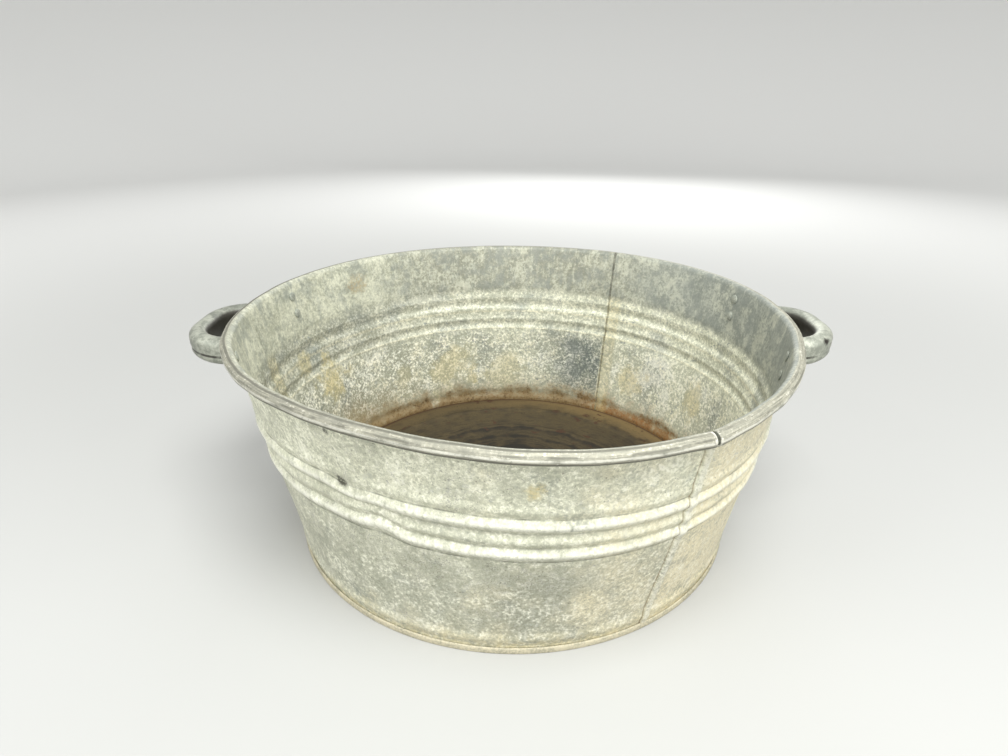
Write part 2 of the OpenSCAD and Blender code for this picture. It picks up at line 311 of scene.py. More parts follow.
def warpPoints(points):
    radius, turn, z = toRound(points)
    lift = smooth(z, 0, tub["rollCentre"][1]) * smooth(radius, warp["flatUpTo"], warp["wholeFrom"])
    share = tub["rimRadius"] / 1000
    out = np.zeros(len(points))
    up = np.full(len(points), -warp["heightDrop"])
    for i in range(3):
        wave, cross = np.cos((i + 2) * turn), np.sin((i + 2) * turn)
        out += (warp["radialCos"][i] * wave + warp["radialSin"][i] * cross) * share
        up += (warp["heightCos"][i] * wave + warp["heightSin"][i] * cross) * share
    out *= lift
    up *= lift
    for azimuth, height, wide, tall, depth, drop in dents:
        away = (turn - math.radians(azimuth) + math.pi) % (2 * math.pi) - math.pi
        reach = (away * radius / (wide * mm)) ** 2 + ((z - height * mm) / (tall * mm)) ** 2
        amount = np.exp(-reach) * smooth(z, 0, warp["dentsFrom"])
        out -= depth * mm * amount
        up -= drop * mm * amount
    circle = np.column_stack([np.cos(turn), np.sin(turn)])
    uneven = noiseAt(np.column_stack([circle * warp["backNoise"], np.full(len(z), warp["backSlice"])]))
    fromBack = np.degrees(np.abs((turn + math.pi / 2) % (2 * math.pi) - math.pi))
    atBack = smooth(fromBack, *warp["backEnds"]) * np.clip(1 + uneven * warp["backUneven"], 0.85, 1.15)
    for height, tall, depth, drop in backBeads:
        amount = np.exp(-((z - height * mm) / (tall * mm)) ** 2) * atBack
        out -= depth * mm * amount
        up -= drop * mm * amount
    ripple = noiseAt(np.column_stack([circle * warp["rippleRound"], z * warp["rippleUp"]]))
    out += ripple * warp["rippleOut"] * lift
    fromSeam = (np.degrees(turn) - seamLean["turn"]) / seamLean["wide"]
    lean = np.exp(-fromSeam ** 2) * smooth(z, *seamLean["low"]) * smooth(z, *seamLean["high"])
    return fromRound(radius + out, turn + np.radians(seamLean["lean"]) * lean, z + up)


def nearestRow(radius, z, chain):
    nearest = np.empty(len(radius), dtype=int)
    for start in range(0, len(radius), 4000):  # in parts, to save memory
        part = slice(start, start + 4000)
        gap = (radius[part, None] - chain[:, 0]) ** 2 + (z[part, None] - chain[:, 1]) ** 2
        nearest[part] = gap.argmin(axis=1)
    return nearest


def layOutSheet(obj, chain, lengths):
    # UV in metres: round the tub, and along the sheet from foot to rim
    radius, turn, z = toRound(getPoints(obj))
    along = lengths[nearestRow(radius, z, chain)]
    layer = obj.data.uv_layers.new(name="Sheet")
    for face in obj.data.polygons:
        middle = math.atan2(face.center[1], face.center[0])
        for loop in face.loop_indices:
            vertex = obj.data.loops[loop].vertex_index
            away = (turn[vertex] - middle + math.pi) % (2 * math.pi) - math.pi
            layer.data[loop].uv = ((middle + away) * tub["footRadius"], along[vertex])


# Shader maths: a Field is one socket, and sums of Fields add their Math nodes

def tint(*colour):
    # a colour as it is seen on screen, 0 to 255, as Blender's linear values
    parts = [c / 255 for c in colour]
    return tuple(c / 12.92 if c < 0.041 else ((c + 0.055) / 1.055) ** 2.4 for c in parts) + (1.0,)


class Field:
    def __init__(self, nodes, socket):
        self.nodes = nodes
        self.socket = socket

    def math(self, operation, first, second):
        return self.nodes.node("ShaderNodeMath", {"operation": operation}, {0: first, 1: second})

    def __add__(self, other):
        return self.math("ADD", self, other)

    def __radd__(self, other):
        return self.math("ADD", other, self)

    def __sub__(self, other):
        return self.math("SUBTRACT", self, other)

    def __rsub__(self, other):
        return self.math("SUBTRACT", other, self)

    def __mul__(self, other):
        return self.math("MULTIPLY", self, other)

    def __rmul__(self, other):
        return self.math("MULTIPLY", other, self)


class Nodes:
    # the empty node tree of one material or world
    def __init__(self, owner):
        owner.use_nodes = True
        self.owner = owner
        self.tree = owner.node_tree
        self.tree.nodes.clear()

    def node(self, kind, settings=None, inputs=None, output=0):
        made = self.tree.nodes.new(kind)
        for key, value in (settings or {}).items():
            setattr(made, key, value)
        for key, value in (inputs or {}).items():
            if isinstance(value, Field):
                self.tree.links.new(value.socket, made.inputs[key])
            else:
                made.inputs[key].default_value = value
        return Field(self, made.outputs[output]) if len(made.outputs) else made


class Finish(Nodes):
    # one material, with its colours and the patterns that every finish uses
    def __init__(self, name, colours):
        super().__init__(bpy.data.materials.new(name))
        self.look = {key: tint(*colour) for key, colour in colours.items()}
        self.place = self.node("ShaderNodeTexCoord", output="Object")

    def vector(self, operation, first, second=None, output=0):
        inputs = {0: first} if second is None else {0: first, 1: second}
        return self.node("ShaderNodeVectorMath", {"operation": operation}, inputs, output)

    def part(self, field, axis):
        return self.node("ShaderNodeSeparateXYZ", inputs={0: field}, output=axis)

    def sheetPlace(self, stretchAround=1.0, stretchAlong=1.0):
        where = self.node("ShaderNodeUVMap", {"uv_map": "Sheet"})
        return self.vector("MULTIPLY", where, (stretchAround, stretchAlong, 1.0))

    def cloud(self, scale, detail=4.0, rough=0.55, where=None, seed=0.0):
        # noise with its own offset, so that no two clouds repeat each other
        moved = self.vector("ADD", where or self.place, (seed * 3.7, seed * 1.3, seed * 7.1))
        return self.node("ShaderNodeTexNoise", {"noise_dimensions": "3D"},
                         {"Vector": moved, "Scale": scale, "Detail": detail, "Roughness": rough})

    def step(self, field, low, high, fromValue=0.0, toValue=1.0):
        return self.node("ShaderNodeMapRange", {"interpolation_type": "SMOOTHSTEP"},
                         {0: field, 1: low, 2: high, 3: fromValue, 4: toValue})

    def fade(self, field, low, high):
        return self.step(field, low, high, 1.0, 0.0)

    def band(self, field, low, high, soft):
        return self.step(field, low - soft, low) * self.fade(field, high, high + soft)

    def spot(self, centre, size, ragged=None):
        # soft ball round a place on the tub
        gap = self.vector("DISTANCE", self.place, centre, output="Value")
        if ragged:
            gap = gap + ragged * size
        return self.fade(gap, size / 4, size)

    def mix(self, amount, under, over):
        return self.node("ShaderNodeMix", {"data_type": "RGBA", "clamp_factor": True},
                         {0: amount, 6: under, 7: over}, output=2)

    def coat(self, under, name, amount):
        return self.mix(amount, under, self.look[name])

    def shade(self, colour, amount):
        # darkens or lightens a colour by a number
        return self.node("ShaderNodeVectorMath", {"operation": "SCALE"}, {0: colour, "Scale": amount})

    def bump(self, height, strength, distance, under=None):
        inputs = {"Height": height, "Strength": strength, "Distance": distance}
        if under:
            inputs["Normal"] = under
        return self.node("ShaderNodeBump", {}, inputs)

    def close(self, colour, roughness, metallic, normal=None):
        inputs = {"Base Color": colour, "Roughness": roughness, "Metallic": metallic}
        if normal:
            inputs["Normal"] = normal
        shader = self.node("ShaderNodeBsdfPrincipled", {}, inputs)
        self.node("ShaderNodeOutputMaterial", {}, {"Surface": shader})
        return self.owner


# Zinc on the wall and the rolled rim

wallFinish = {
    "colours": {
        "grey": (168, 170, 150), "pale": (213, 214, 192), "cream": (232, 223, 188),
        "chalk": (240, 240, 226), "bruise": (132, 138, 131), "blueGrey": (120, 130, 132),
        "slate": (92, 102, 100), "grimeAndShade": (80, 80, 68), "ochre": (200, 186, 130),
        "straw": (226, 213, 164), "tan": (152, 131, 88), "brown": (116, 92, 56),
        "rust": (144, 100, 54), "rustDark": (70, 57, 38), "rimZinc": (172, 170, 153),
        "rimWearAndHighlight": (224, 223, 210), "rimDark": (136, 136, 123), "rimEdge": (102, 102, 91),
    },
    "metallic": 0.15,
    "rimMetallic": 0.4,
    "rimBlend": (5.5 * mm, 8.2 * mm),  # along the roll
    # painted shade in the creases of the beads: height, how far it fades, how strong
    "creases": ((173 * mm, 1.0 * mm, 0.60), (157 * mm, 1.6 * mm, 0.35),
                (140 * mm, 1.6 * mm, 0.30), (123.5 * mm, 1.2 * mm, 0.65)),
    # heights of the paler crowns outside, partly wear and partly painted highlight, and of the painted
    # highlights on the ledges inside
    "crowns": (164 * mm, 131.5 * mm),
    "ledges": (152.5 * mm, 124.5 * mm),
    # lock seams: azimuth in degrees, and how dirty the slit inside is
    "seams": ((-60, 0.95), (60, 0.95), (180, 0.25), (-180, 0.25)),
    # stains inside: place, size, how strong
    "stains": (
        ((-0.243, 0.111, 0.104), 0.032, 0.7), ((-0.265, 0.0716, 0.1436), 0.018, 0.5),
        ((-0.098, 0.239, 0.061), 0.045, 0.45), ((-0.16, 0.20, 0.07), 0.030, 0.3),
        ((0.173, 0.194, 0.068), 0.030, 0.5), ((0.241, 0.103, 0.081), 0.028, 0.5),
        ((-0.013, 0.256, 0.055), 0.040, 0.35),
    ),
    "tanSpot": ((-0.216, 0.184, 0.216), 0.016),
    "rimSpot": ((0.057, 0.285, 0.236), 0.004),
    "chips": (((-0.1452, -0.2242, 0.1704), 0.007), ((-0.1506, -0.2323, 0.2228), 0.005)),
    "smear": ((0.0167, -0.2827, 0.2002), 0.011),
}


class WallFinish(Finish):
    # places and patterns that several layers of the wall share
    def __init__(self, name):
        super().__init__(name, wallFinish["colours"])
        self.x, self.y, self.z = (self.part(self.place, axis) for axis in range(3))
        sheet = self.sheetPlace()
        self.around = self.part(sheet, 0)
        self.along = self.part(sheet, 1)
        self.big = self.cloud(9, 4, 0.55, seed=1)
        self.middle = self.cloud(42, 5, 0.6, seed=2)
        self.coarse = self.cloud(110, 5, 0.7, seed=17)
        self.grain = self.cloud(300, 5, 0.72, seed=3)
        self.fine = self.cloud(800, 3, 0.7, seed=4)
        self.blot = self.cloud(34, 5, 0.65, seed=11)
        self.mottle = self.cloud(36, 5, 0.65, seed=47)
        self.run = self.cloud(170, 4, 0.6, where=self.sheetPlace(1.0, 0.14), seed=6)
        self.patchy = self.grain * 0.38 + self.coarse * 0.30 + self.middle * 0.20 + self.big * 0.12
        self.pits = self.step(self.fine * 0.35 + self.cloud(340, 4, 0.75, seed=18) * 0.65, 0.55, 0.64)
        self.worn = self.step(self.cloud(70, 4, 0.6, seed=14), 0.38, 0.62, 0.35, 1.0)
        self.ragged = (self.blot - 0.5) * 3.5 + (self.coarse - 0.5) * 2.0
        self.high = self.step(self.z, 172 * mm, 186 * mm)
        self.low = 1.0 - self.high
        self.leftSide = self.fade(self.x, -230 * mm, -110 * mm)


def outerZinc(f):
    # pale grey-green patina, close-grained, with cream and chalk patches and dark pits
    outer = f.coat(f.look["grey"], "pale", f.step(f.patchy, 0.40, 0.60))
    # painted light and shade: lighter towards the top and at the left, darker low down just right of the
    # front, for how the light falls on the outside
    foot = f.fade(f.z, 100 * mm, 130 * mm)
    outer = f.shade(outer, f.step(f.z, 60 * mm, 190 * mm, 0.92, 1.22)
                    + f.step(f.x, -240 * mm, -80 * mm, 0.1, 0.0)
                    + foot * f.step(f.x, -160 * mm, -60 * mm, 0.05, 0.0)
                    - foot * f.band(f.x, 0.0, 130 * mm, 40 * mm) * 0.14)
    cream = f.big * 0.45 + f.cloud(24, 4, 0.6, seed=7) * 0.4 + f.x * 0.35 - f.z * 0.4 + 0.06
    cream = f.step(cream, 0.40, 0.62) * f.step(f.grain, 0.34, 0.58, 0.45, 1.0)
    outer = f.coat(outer, "cream", cream * 0.7)
    warmSide = f.band(f.around, -245 * mm, -150 * mm, 25 * mm)
    warmSide = warmSide * f.step(f.grain * 0.5 + f.middle * 0.5, 0.34, 0.52)
    outer = f.coat(outer, "cream", warmSide * 0.85)
    chalky = f.step(f.grain * 0.65 + f.coarse * 0.15 + f.middle * 0.20, 0.50, 0.60)
    outer = f.coat(outer, "chalk", chalky * 0.6)
    outer = f.coat(outer, "chalk", f.step(f.run, 0.56, 0.72) * 0.3)
    bruise = f.step(f.cloud(20, 5, 0.65, seed=8), 0.54, 0.70) * f.step(f.grain, 0.36, 0.62, 1.0, 0.25)
    outer = f.coat(outer, "bruise", bruise * 0.6)
    calmBeads = 1.0 - f.band(f.z, 124 * mm, 174 * mm, 8 * mm) * 0.7
    outer = f.coat(outer, "grimeAndShade", f.pits * calmBeads * 0.6)
    scuffs = f.step(f.cloud(60, 5, 0.75, seed=19), 0.56, 0.66) * f.step(f.grain, 0.42, 0.60)
    outer = f.coat(outer, "bruise", scuffs * calmBeads * 0.55)
    sooty = f.cloud(26, 5, 0.7, seed=27) + f.band(f.z, 86 * mm, 114 * mm, 20 * mm) * 0.1
    sooty = f.step(sooty, 0.50, 0.66) * f.step(f.x, 0.0, 120 * mm, 1.0, 0.15)
    outer = f.coat(outer, "grimeAndShade", sooty * f.step(f.fine * 0.4 + f.grain * 0.6, 0.46, 0.59) * 0.6)
    footWash = f.fade(f.z + (f.middle - 0.5) * 30 * mm, 8 * mm, 30 * mm) * f.step(f.coarse, 0.36, 0.60)
    outer = f.coat(outer, "straw", footWash * 0.45)
    return f.shade(outer, 1.0 + (f.grain - 0.5) * calmBeads * 0.7)


def innerHigh(f):
    # inside above the beads: darker, bluish at the right, mottled, with scratches that lean
    inner = f.coat(f.look["grey"], "pale", f.step(f.patchy, 0.43, 0.58))
    # painted light and shade: below the beads lighter towards the right and darker at the left, above the
    # beads darker, most of all at the back, for how the light falls inside the tub
    aside = f.step(f.x * f.x, 0.01, 0.045)
    inner = f.shade(inner, 1.02 + (0.03 + f.x * 0.65 - f.leftSide * 0.13) * f.low
                    - f.high * (0.43 - aside * 0.17 - f.leftSide * 0.20))
    inner = f.coat(inner, "blueGrey", f.step(f.x, 120 * mm, 240 * mm) * f.high * 0.45)
    stripes = f.cloud(110, 5, 0.7, where=f.sheetPlace(1.0, 0.35), seed=20)
    inner = f.coat(inner, "bruise", f.step(stripes, 0.47, 0.62) * f.high * 0.4)
    inner = f.coat(inner, "pale", f.step(f.mottle * 0.7 + f.grain * 0.3, 0.50, 0.60) * f.high * 0.4)
    inner = f.coat(inner, "bruise", f.step(f.mottle * 0.7 + f.coarse * 0.3, 0.49, 0.41) * f.high * 0.45)
    inner = f.coat(inner, "pale", f.step(f.run * 0.6 + f.coarse * 0.4, 0.52, 0.64) * f.high * 0.35)
    leaning = f.node("ShaderNodeCombineXYZ", {}, {0: f.around + f.along * 0.45, 1: f.along * 0.16})
    for scale, seed, colour in ((520, 5, "pale"), (430, 9, "bruise")):
        scratch = f.step(f.cloud(scale, 3, 0.6, where=leaning, seed=seed), 0.57, 0.70)
        inner = f.coat(inner, colour, scratch * f.high * 0.15)
    return inner


def innerLow(f, inner):
    # inside below the beads: paler and speckled, with a dark patch and stains
    calm = f.step(f.z, 104 * mm, 122 * mm, 1.0, 0.3)
    inner = f.coat(inner, "bruise", f.step(f.cloud(15, 4, 0.6, seed=28), 0.50, 0.66) * f.low * 0.55)
    blotches = f.step(f.cloud(19, 5, 0.65, seed=29) * 0.7 + f.grain * 0.3, 0.51, 0.60)
    inner = f.coat(inner, "chalk", blotches * f.low * calm * 0.6)
    speckle = f.step(f.grain * 0.35 + f.coarse * 0.35 + f.middle * 0.30, 0.49, 0.58) * f.low
    inner = f.coat(inner, "cream", speckle * calm * 0.5)
    speckle = f.step(f.grain * 0.65 + f.coarse * 0.35, 0.50, 0.60) * f.low
    inner = f.coat(inner, "chalk", speckle * calm * 0.8)
    speckle = f.step(f.cloud(230, 5, 0.75, seed=10), 0.54, 0.64) * f.low
    inner = f.coat(inner, "blueGrey", speckle * f.step(f.middle, 0.4, 0.6) * 0.8)
    patch = (f.band(f.around + (f.mottle - 0.5) * 60 * mm, 265.5 * mm, 308 * mm, 62 * mm)
             * f.step(f.around, 263 * mm, 265 * mm)
             * f.band(f.z + (f.blot - 0.5) * 90 * mm, 46 * mm, 98 * mm, 40 * mm))
    inner = f.coat(inner, "slate", patch * f.step(f.grain * 0.5 + f.blot * 0.5, 0.66, 0.44) * 0.82)
    for centre, size, amount in wallFinish["stains"]:
        stain = f.spot(centre, size, f.ragged) * f.step(f.grain * 0.6 + f.coarse * 0.4, 0.36, 0.56, 0.25, 1.0)
        inner = f.coat(inner, "ochre", stain * amount)
    inner = f.coat(inner, "tan", f.spot(*wallFinish["tanSpot"], f.ragged) * f.step(f.grain, 0.4, 0.6) * 0.6)
    return f.coat(inner, "grimeAndShade", f.spot(*wallFinish["rimSpot"]))


def footRust(f, inner):
    # rust where the wall meets the floor
    edge = f.z - (f.blot - 0.5) * 60 * mm - (f.coarse - 0.5) * 40 * mm - (f.grain - 0.5) * 44 * mm
    tanBand = f.fade(edge, 8 * mm, 42 * mm)
    wash = f.fade(edge - f.leftSide * 22 * mm, 2 * mm, 64 * mm)
    inner = f.coat(inner, "tan", wash * f.step(f.grain, 0.36, 0.60, 1.0, 0.5) * (0.25 + f.leftSide * 0.5))
    inner = f.coat(inner, "tan", tanBand * 0.85)
    specks = f.step(f.cloud(260, 5, 0.75, seed=26), 0.46, 0.60)
    inner = f.coat(inner, "brown", f.fade(edge, 6 * mm, 30 * mm) * (0.6 + specks * 0.4))
    orange = f.fade(edge, 4 * mm, 32 * mm) * f.band(f.around, 110 * mm, 250 * mm, 50 * mm)
    inner = f.coat(inner, "rust", orange * (0.45 + specks * 0.5))
    clumps = f.step(f.cloud(130, 5, 0.75, seed=12) * 0.55 + f.blot * 0.45, 0.50, 0.60)
    inner = f.coat(inner, "rustDark", tanBand * clumps * specks * 0.75)
    inner = f.coat(inner, "grimeAndShade", f.pits * 0.4)
    return f.shade(inner, 1.0 + (f.grain - 0.5) * (f.low * 0.5 + 0.2))


def beadShadeWearAndHighlights(f, outer, inner):
    # painted shade in the creases of the beads, paler crowns outside that are partly worn and partly a
    # painted highlight, and painted highlights on the ledges inside
    wobble = f.along + (f.cloud(45, 2, 0.5, seed=13) - 0.5) * 2 * mm
    for height, soft, amount in wallFinish["creases"]:
        centre = heightAlong(height)
        # painted shade along each crease, broken up in patches, darker outside than inside
        line = f.band(wobble, centre - 0.3 * mm, centre + 0.3 * mm, soft) * f.worn
        outer = f.coat(outer, "grimeAndShade", line * amount)
        inner = f.coat(inner, "grimeAndShade", line * amount * 0.35)
    for height in wallFinish["crowns"]:
        centre = heightAlong(height)
        # paler crowns: partly chalky wear, partly a painted highlight
        crown = f.band(f.along, centre - 2 * mm, centre + 2 * mm, 4 * mm)
        outer = f.coat(outer, "chalk", crown * f.step(f.grain * 0.4 + f.run * 0.6, 0.34, 0.56) * 0.6)
    for height in wallFinish["ledges"]:
        centre = heightAlong(height)
        # painted highlight on the ledges inside
        ledgeHighlight = f.band(wobble, centre - 0.8 * mm, centre + 0.8 * mm, 2 * mm) * f.step(f.grain, 0.40, 0.54)
        inner = f.coat(inner, "cream", ledgeHighlight * 0.3)
    return outer, inner


def seamDirt(f, outer, inner):
    # dirt beside the lock seams and along the slits of the joints
    for turn, dirt in wallFinish["seams"]:
        centre = math.radians(turn) * tub["footRadius"]
        beside = (f.band(f.around, centre - 4.2 * mm, centre - 3.5 * mm, 0.5 * mm)
                  + f.band(f.around, centre + 3.1 * mm, centre + 3.9 * mm, 0.5 * mm))
        strip = f.band(f.around, centre - 2.6 * mm, centre + 2.2 * mm, 0.6 * mm)
        outer = f.coat(outer, "chalk", strip * f.step(f.grain, 0.34, 0.56) * 0.4)
        outer = f.coat(outer, "brown", beside * (0.25 + f.worn * 0.4))
        slit = f.band(f.around, centre - 3.3 * mm, centre - 1.5 * mm, 0.8 * mm)
        inner = f.coat(inner, "grimeAndShade", slit * (0.35 + f.worn * 0.65) * dirt)
        warm = f.band(f.around, centre - 16 * mm, centre - 4 * mm, 6 * mm) * f.step(f.grain, 0.36, 0.58)
        inner = f.coat(inner, "ochre", warm * f.low * 0.35)
    return outer, inner


def outerMarks(f, outer):
    # small chips above the left end of the beads, and a tan smear under the rim
    for centre, size in wallFinish["chips"]:
        outer = f.coat(outer, "grimeAndShade", f.spot(centre, size, f.ragged * 0.6) * f.step(f.grain, 0.40, 0.48))
    smear = f.spot(*wallFinish["smear"], f.ragged) * f.step(f.grain, 0.38, 0.56, 0.3, 1.0)
    return f.coat(outer, "ochre", smear * 0.7)


def rimZinc(f):
    # the roll: duller on top, with a painted highlight along its smoother outer face, painted shade on its
    # crest and underside, and scratches that run along it
    alongRim = f.sheetPlace(0.05, 1.0)
    lines = f.cloud(620, 4, 0.6, where=alongRim, seed=15)
    cloudy = f.cloud(70, 5, 0.65, seed=16)
    rim = f.coat(f.look["rimDark"], "rimZinc",
                 f.step(lines * 0.35 + cloudy * 0.35 + f.grain * 0.3, 0.40, 0.60))
    rim = f.coat(rim, "rimWearAndHighlight", f.step(lines * 0.4 + f.grain * 0.6, 0.55, 0.62) * 0.6)
    streak = f.cloud(1000, 3, 0.6, where=alongRim, seed=45) * 0.6 + cloudy * 0.4
    rim = f.coat(rim, "rimEdge", f.step(streak, 0.52, 0.60) * 0.6)
    onTurn = f.along - rollStart
    wander = (cloudy - 0.5) * 1.2 * mm
    # a thin darker line just above the bright band
    thinDarkLine = f.band(onTurn + wander, 13.2 * mm, 14.2 * mm, 0.6 * mm)
    rim = f.coat(rim, "rimEdge", thinDarkLine * f.step(f.cloud(26, 4, 0.6, seed=46), 0.46, 0.58) * 0.7)
    # painted highlight along the outer face of the roll, which is also less rough there
    polishAndHighlight = f.band(onTurn + wander, 15.8 * mm, 17.2 * mm, 0.8 * mm)
    rim = f.coat(rim, "rimWearAndHighlight", polishAndHighlight * f.step(lines * 0.5 + cloudy * 0.5, 0.38, 0.54) * 0.7)
    # painted shade on the underside of the roll
    rim = f.coat(rim, "rimEdge", f.band(onTurn + wander * 0.4, 19.2 * mm, 60 * mm, 0.8 * mm) * 0.9)
    # painted shade along the crest of the roll, wider at the back and fainter at the right
    atBack = f.step(f.y, -60 * mm, 120 * mm)
    crestShade = (f.band(onTurn + atBack * 1.6 * mm, 8.4 * mm, 9.8 * mm, 0.8 * mm)
             + f.band(onTurn, 8.4 * mm, 12 * mm, 0.8 * mm) * atBack)
    rim = f.coat(rim, "rimEdge", crestShade * f.step(f.x, 60 * mm, 220 * mm, 1.0, 0.2) * 0.75)
    # painted highlight on the lips of the open joint in the roll
    joint = f.band(f.around, -268 * mm, -262.2 * mm, 0.5 * mm) * f.step(f.grain, 0.44, 0.54)
    rim = f.coat(rim, "rimWearAndHighlight", joint * 0.6)
    rim = f.coat(rim, "grimeAndShade", f.pits * 0.5)
    # painted light and shade: the rim darker at the left and lighter at the right
    rim = f.shade(rim, f.step(f.x, -220 * mm, 220 * mm, 0.94, 1.10))
    return rim, 0.06 - polishAndHighlight * 0.18 + (cloudy - 0.5) * 0.3


def wallMaterial(name):
    f = WallFinish(name)
    outer = outerZinc(f)
    inner = footRust(f, innerLow(f, innerHigh(f)))
    outer, inner = beadShadeWearAndHighlights(f, outer, inner)
    outer, inner = seamDirt(f, outer, inner)
    outer = outerMarks(f, outer)
    # painted shade: the inside darker towards the top of the wall where it turns into the roll
    inner = f.shade(inner, f.step(f.along, rollStart - 1 * mm, rollStart + 5 * mm, 1.0, 0.84))
    outward = f.vector("NORMALIZE", f.vector("MULTIPLY", f.place, (1, 1, 0)))
    normal = f.node("ShaderNodeNewGeometry", output="Normal")
    facing = f.vector("DOT_PRODUCT", normal, outward, output="Value")
    wall = f.mix(f.fade(facing, -0.25, 0.05), outer, inner)
    rim, rimRough = rimZinc(f)
    blendFrom, blendTo = wallFinish["rimBlend"]
    onRoll = f.step(f.along, rollStart + blendFrom, rollStart + blendTo)
    roughness = 0.56 + (f.middle - 0.5) * 0.3 + (f.grain - 0.5) * 0.3 + onRoll * rimRough
    metallic = wallFinish["metallic"] + onRoll * (wallFinish["rimMetallic"] - wallFinish["metallic"])
    relief = f.bump((f.grain * 0.7 + f.fine * 0.3) * (1.0 - onRoll * 0.85), 0.30, 0.35 * mm)
    relief = f.bump(f.middle, 0.35, 1.5 * mm, under=relief)
    return f.close(f.mix(onRoll, wall, rim), roughness, metallic, relief)


# Camera where the photograph was taken from, and a plain pale studio

camera = {
    "place": (0.0, -2.298 * tub["rimRadius"], 1.623 * tub["rimRadius"]),
    "pitch": 25.3,
    "yaw": 0.89,
    "pixelsFocal": 659,
    "pixelsWide": 1008,
    "sensor": 36,
    "nearest": 0.02,
}
studio = {
    "colours": {"paint": (178, 179, 176), "backdrop": (239, 240, 237), "bounce": (92, 90, 86)},
    "radius": 3.0,
    "corner": 1.2,
    "wall": 2.6,
    "backdropFrom": 0.7,
    "backdropWhole": 2.6,
    "skyLight": 0.86,
    "aim": (0, 0, 0.12),
    # lamps: name, place, size and power
    "lamps": (
        ("keyLight", (0.3, -0.9, 2.0), 1.1, 47),
        ("leftLight", (-1.9, -0.9, 1.3), 1.3, 20),
        ("rightLight", (1.9, -1.1, 1.3), 1.3, 20),
        ("lowLight", (-0.2, -2.4, 0.5), 0.7, 25),
        ("backLight", (0.4, 2.3, 1.1), 1.2, 16),
    ),
}


def buildCamera():
    turned = (math.radians(90 - camera["pitch"]), 0, math.radians(camera["yaw"]))
    bpy.ops.object.camera_add(location=camera["place"], rotation=turned)
    lens = bpy.context.object
    lens.data.sensor_width = camera["sensor"]
    lens.data.lens = camera["pixelsFocal"] / camera["pixelsWide"] * camera["sensor"]
    lens.data.clip_start = camera["nearest"]
    bpy.context.scene.camera = lens
    bpy.context.scene.view_settings.view_transform = "Standard"


def buildBackdrop():
    # a wide pale dish, so that floor and backdrop run into each other on every side
    turnUp = arcPoints((studio["radius"], studio["corner"]), studio["corner"], 270, 360, 12)
    top = (studio["radius"] + studio["corner"], studio["wall"])
    dish = spinChain([(0.0, 0.0)] + turnUp + [top], 0, 360, 96, closed=True)
    nameIt(dish, "studioDish")
    f = Finish("studioPaint", studio["colours"])
    far = f.step(f.vector("LENGTH", f.place, output="Value"), studio["backdropFrom"], studio["backdropWhole"])
    pale = f.coat(f.look["paint"], "backdrop", far)
    onCamera, onGlossy, onGlass = (f.node("ShaderNodeLightPath", output=ray) for ray in
                                   ("Is Camera Ray", "Is Glossy Ray", "Is Transmission Ray"))
    colour = f.mix(onCamera + onGlossy + onGlass, f.look["bounce"], pale)
    finishPiece(dish, f.close(colour, 0.9, 0.0), 60)


def buildLight():
    world = bpy.data.worlds.new("studioWorld")
    bpy.context.scene.world = world
    sky = Nodes(world)
    light = sky.node("ShaderNodeBackground", {}, {0: (1, 1, 1, 1), 1: studio["skyLight"]})
    seen = sky.node("ShaderNodeBackground", {}, {0: tint(*studio["colours"]["paint"]), 1: 1.0})
    onCamera = sky.node("ShaderNodeLightPath", output="Is Camera Ray")
    blend = sky.node("ShaderNodeMixShader", {}, {0: onCamera, 1: light, 2: seen})
    sky.node("ShaderNodeOutputWorld", {}, {"Surface": blend})
    for name, place, size, power in studio["lamps"]:
        bpy.ops.object.light_add(type="AREA", location=place)
        lamp = bpy.context.object
        lamp.name = name
        lamp.data.energy = power
        lamp.data.size = size
        lamp.rotation_euler = (Vector(studio["aim"]) - Vector(place)).to_track_quat("-Z", "Y").to_euler()


buildCamera()
buildBackdrop()
buildLight()
print("camera and studio ready")


# Wall panels: one profile from the hem to the roll, spun a third of the way round

seams = {
    "width": 7 * mm,
    "middleRadius": 276 * mm,
    "foldGap": 0.1 * mm,
    "lowEnd": 7.5 * mm,
    "topGap": 0.5 * mm,
    "flatterBeads": 0.3,
    "openGap": 3 * mm,
    "tightGap": 0.3 * mm,
    "steps": 150,
}
halfSeam = math.degrees(seams["width"] / seams["middleRadius"]) / 2
sheetTurn = math.degrees(tub["sheet"] / seams["middleRadius"])
gapTurn = math.degrees(seams["foldGap"] / seams["middleRadius"])
buttTurn = sheetTurn - halfSeam

# plan of the seam's outer layer, which steps out, runs flat and folds back in:
# azimuth in degrees from the seam's middle, and how far out in mm
lockPlan = (
    (-halfSeam - 0.1, 0.1),
    (-halfSeam, 0.7),
    (-halfSeam + sheetTurn * 0.6, 2.3),
    (-halfSeam + sheetTurn * 1.4, 2.7),
    (-halfSeam / 3, 2.75),
    (halfSeam / 3, 2.75),
    (halfSeam - sheetTurn * 1.2, 2.7),
    (halfSeam - sheetTurn * 0.5, 2.4),
    (halfSeam - sheetTurn * 0.2, 1.8),
    (halfSeam - sheetTurn * 0.6, 1.1),
    (halfSeam / 3, 0.95),
)


